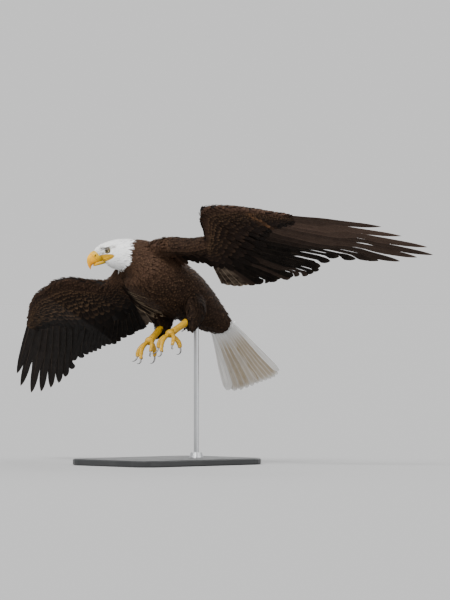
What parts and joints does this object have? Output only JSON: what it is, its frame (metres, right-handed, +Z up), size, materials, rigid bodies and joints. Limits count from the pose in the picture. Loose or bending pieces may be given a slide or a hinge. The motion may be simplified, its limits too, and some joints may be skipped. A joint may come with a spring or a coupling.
{
  "type": "life-size bald eagle display model",
  "caption": "Bald eagle in flight at life size: white head and tail, hooked bill, spread wings and hanging talons, held by a rod on a flat base",
  "frame": {"origin": "centre of the stand base's underside, on the floor", "axes": "+Z up, the bird heads along -Y, its left wing on +X"},
  "size_m": [1.6314, 0.6328, 0.8107],
  "materials": {
    "plumage_brown": "matt dark brown body feathers with pale fringes",
    "plumage_white": "matt white head and tail feathers",
    "flight_feathers": "satin blackish-brown wing feathers with pale shafts",
    "bill_horn": "satin yellow horn",
    "eye": "wet pale yellow iris with a black pupil",
    "leg_scales": "satin yellow scaled skin",
    "claw_horn": "polished grey-black horn",
    "rod_steel": "brushed rod and collar",
    "base_painted": "satin dark grey paint on board"
  },
  "bodies": {
    "root": {"neck": "plumage_brown", "trunk": "plumage_brown", "tail_root": "plumage_brown", "head": "plumage_white", "tail_feathers": "plumage_white", "eye_left": "eye", "eye_right": "eye", "bill_upper": "bill_horn", "bill_lower": "bill_horn", "left_upper_arm": "plumage_brown", "left_forearm": "plumage_brown", "left_hand": "plumage_brown", "left_thigh": "plumage_brown", "left_tertials": "flight_feathers", "left_secondaries": "flight_feathers", "left_primaries": "flight_feathers", "left_tarsus": "leg_scales", "left_foot": "leg_scales", "left_toe_inner": "leg_scales", "left_claw_inner": "claw_horn", "left_toe_middle": "leg_scales", "left_claw_middle": "claw_horn", "left_toe_outer": "leg_scales", "left_claw_outer": "claw_horn", "left_toe_hind": "leg_scales", "left_claw_hind": "claw_horn", "right_upper_arm": "plumage_brown", "right_forearm": "plumage_brown", "right_hand": "plumage_brown", "right_thigh": "plumage_brown", "right_tertials": "flight_feathers", "right_secondaries": "flight_feathers", "right_primaries": "flight_feathers", "right_tarsus": "leg_scales", "right_foot": "leg_scales", "right_toe_inner": "leg_scales", "right_claw_inner": "claw_horn", "right_toe_middle": "leg_scales", "right_claw_middle": "claw_horn", "right_toe_outer": "leg_scales", "right_claw_outer": "claw_horn", "right_toe_hind": "leg_scales", "right_claw_hind": "claw_horn", "stand_base": "base_painted", "stand_rod": "rod_steel", "stand_collar": "rod_steel"}
  },
  "joints": []
}
